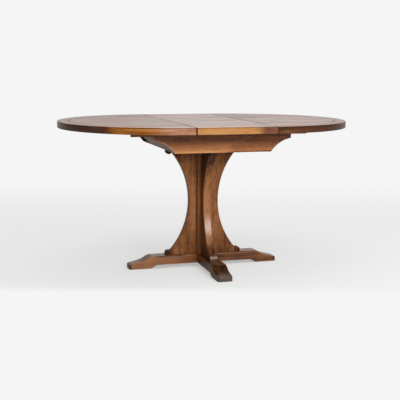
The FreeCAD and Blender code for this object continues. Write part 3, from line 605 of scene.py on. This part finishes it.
VIEW_TURN = math.radians(-16.67)
VIEW_PITCH = math.radians(9.19)
VIEW_ROLL = math.radians(0.35)
VIEW_BACK = 4.12927
VIEW_ASIDE = -0.01384
VIEW_HEIGHT = 0.9997
FOCAL_PIXELS = 820.34
PICTURE_PIXELS = 400
SENSOR_WIDTH = 36.0
FARTHEST_SEEN = 60

# Each lamp's place, target, width, length and watts
KEY_TARGET = (0, 0, 0.45)
LAMPS = {
    "key": ((1.0, -2.75, 1.57), KEY_TARGET, 1.0, 0.88, 27),
    "front": ((0.3, -4.6, 1.1), (0, 0, 0.5), 2.6, 1.4, 86),
    "overhead": ((0, -0.4, 3.0), (0, 0, 0.7), 3.0, 2.4, 40),
    "back": ((-0.7, 3.4, 1.3), KEY_TARGET, 2.4, 1.4, 80),
    "glint": ((0.98, -2.69, 1.48), KEY_TARGET, 1.0, 0.88, 30),
}
PEDESTAL = (
    "column", "fin_left", "fin_right", "fin_front", "fin_rear", "foot_beam_long", "foot_beam_cross",
)


def seen(finish):
    """1 on rays from the camera, reflections and glass, 0 on rays that only carry light."""
    rays = ("Is Camera Ray", "Is Glossy Ray", "Is Transmission Ray")
    straight, glossy, through = (finish.add("LightPath", {}, {}, ray) for ray in rays)
    return finish.add("Clamp", {}, {"Value": straight + glossy + through})


def paper_floor():
    """A wide sheet of paper, paler away from the table, that can be seen through from below."""
    mesh = bmesh.new()
    bmesh.ops.create_grid(mesh, x_segments=1, y_segments=1, size=FLOOR_REACH)
    bmesh.ops.translate(mesh, verts=mesh.verts, vec=(0, 0, -FLOOR_DROP))
    data = bpy.data.meshes.new("paper_floor")
    mesh.to_mesh(data)
    mesh.free()
    floor = bpy.data.objects.new("paper_floor", data)
    scene.collection.objects.link(floor)
    material, finish = new_finish("floor_paper")
    place = finish.add("TexCoord", {}, {}, "Object")
    turned = finish.add("Mapping", {}, {"Vector": place, "Rotation": (0, 0, -VIEW_TURN)})
    depth = finish.along(turned, "Y")
    far = finish.ramped(depth, *FLOOR_FAR)
    near = finish.ramped(depth, *FLOOR_NEAR)
    aside = finish.ramped(finish.size(finish.along(turned, "X")), *FLOOR_ASIDE)
    pale = finish.most(finish.most(far, near), aside)
    stops = [(0.0, (PAPER_NEAR,) * 3), (1.0, (PAPER_FAR,) * 3)]
    tone = finish.add("ValToRGB", {"stops": stops}, {"Fac": pale})
    # Painted contact shadows: the glow is dimmed where the table is close
    open_air = finish.add("AmbientOcclusion", {"samples": 12}, {"Distance": CONTACT_REACH}, "AO")
    contact_shadow = finish.ramped(open_air, *CONTACT_LIMITS, CONTACT_DARK, 1.0)
    glow = finish.add("Emission", {}, {"Color": tone, "Strength": contact_shadow})
    straight = finish.add("LightPath", {}, {}, "Is Camera Ray")
    matt_tones = {0: straight, 6: PAPER_BOUNCE, 7: PAPER_TONE}
    matt = finish.add("BsdfDiffuse", {}, {"Color": finish.add("Mix", {"data_type": "RGBA"}, matt_tones, 2)})
    share = seen(finish) * GLOW_SEEN + straight * (GLOW_STRAIGHT + pale * GLOW_PALE)
    paper = finish.add("MixShader", {}, {0: share, 1: matt, 2: glow})
    under = finish.add("NewGeometry", {}, {}, "Backfacing")
    shader = finish.add("MixShader", {}, {0: under, 1: paper, 2: finish.add("BsdfTransparent")})
    finish.add("OutputMaterial", {}, {"Surface": shader})
    data.materials.append(material)


def studio_world():
    """A white backdrop, with the room darker to the sides and behind the camera."""
    world = bpy.data.worlds.new("studio")
    world.use_nodes = True
    scene.world = world
    finish = Finish(world.node_tree)
    way = finish.add("TexCoord", {}, {}, "Generated")

    def towards(direction):
        aim = Vector(direction).normalized()
        return finish.add("VectorMath", {"operation": "DOT_PRODUCT"}, {0: way, 1: aim}, "Value")
    ahead = towards((-math.sin(VIEW_TURN), math.cos(VIEW_TURN), 0))
    lit = finish.ramped(towards(FILL_WAY), *FILL_SPREAD, FILL_LEAST, FILL_MOST)
    lit = lit + finish.ramped(ahead, *BACK_SPREAD) * BACK_FILL
    aside = towards((math.cos(VIEW_TURN), math.sin(VIEW_TURN), 0))
    loss = finish.ramped(aside, *LEFT_FALLOFF) * LEFT_LOSS + finish.ramped(aside, *RIGHT_FALLOFF) * RIGHT_LOSS
    backdrop = finish.ramped(ahead, *BACKDROP_SPREAD, ROOM, PAPER_FAR) * (BACKDROP_LEVEL - loss)
    straight = finish.add("LightPath", {}, {}, "Is Camera Ray")
    shown = finish.add("Mix", {"data_type": "FLOAT"}, {0: straight, 2: backdrop, 3: PAPER_FAR})
    level = finish.add("Mix", {"data_type": "FLOAT"}, {0: seen(finish), 2: lit, 3: shown})
    shader = finish.add("Background", {}, {"Color": (1, 1, 1, 1), "Strength": level})
    finish.add("OutputWorld", {}, {"Surface": shader})


def softbox(name, place, target, width, length, watts):
    light = bpy.data.lights.new(name, "AREA")
    light.shape = "RECTANGLE"
    light.size = width
    light.size_y = length
    light.energy = watts
    lamp = bpy.data.objects.new(name, light)
    aim = Vector(target) - Vector(place)
    lamp.matrix_world = Matrix.Translation(place) @ aim.to_track_quat("-Z", "Y").to_matrix().to_4x4()
    scene.collection.objects.link(lamp)
    return lamp


def light_only(lamp, nodes):
    """Keep a lamp's light to some of the pieces."""
    lit = bpy.data.collections.new("lit_by_" + lamp.name)
    for node in nodes:
        lit.objects.link(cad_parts[node])
    lamp.light_linking.receiver_collection = lit


def camera():
    """The photograph's viewpoint."""
    across = Vector((math.cos(VIEW_TURN), math.sin(VIEW_TURN), 0))
    ahead = Vector((-math.sin(VIEW_TURN), math.cos(VIEW_TURN), 0))
    up = Vector((0, 0, 1))
    place = ahead * -VIEW_BACK + across * VIEW_ASIDE + up * VIEW_HEIGHT
    forward = ahead * math.cos(VIEW_PITCH) - up * math.sin(VIEW_PITCH)
    head = ahead * math.sin(VIEW_PITCH) + up * math.cos(VIEW_PITCH)
    right = across * math.cos(VIEW_ROLL) + head * math.sin(VIEW_ROLL)
    top = head * math.cos(VIEW_ROLL) - across * math.sin(VIEW_ROLL)
    lens = bpy.data.cameras.new("view")
    lens.sensor_width = SENSOR_WIDTH
    lens.lens = SENSOR_WIDTH * FOCAL_PIXELS / PICTURE_PIXELS
    lens.clip_end = FARTHEST_SEEN
    eye = bpy.data.objects.new("view", lens)
    turn = Matrix((right, top, -forward)).transposed().to_4x4()
    eye.matrix_world = Matrix.Translation(place) @ turn
    scene.collection.objects.link(eye)
    scene.camera = eye


camera()
paper_floor()
studio_world()
lamps = {name: softbox(name, *setting) for name, setting in LAMPS.items()}
for name in ("key", "front", "back"):
    lamps[name].visible_glossy = False

# The glint is the key's reflection, kept to the pedestal so that it doesn't glare on the top
lamps["glint"].visible_diffuse = False
light_only(lamps["glint"], PEDESTAL)
light_only(lamps["back"], [node for node in sorted(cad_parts) if not node.endswith("_field")])
scene.view_settings.view_transform = "Standard"
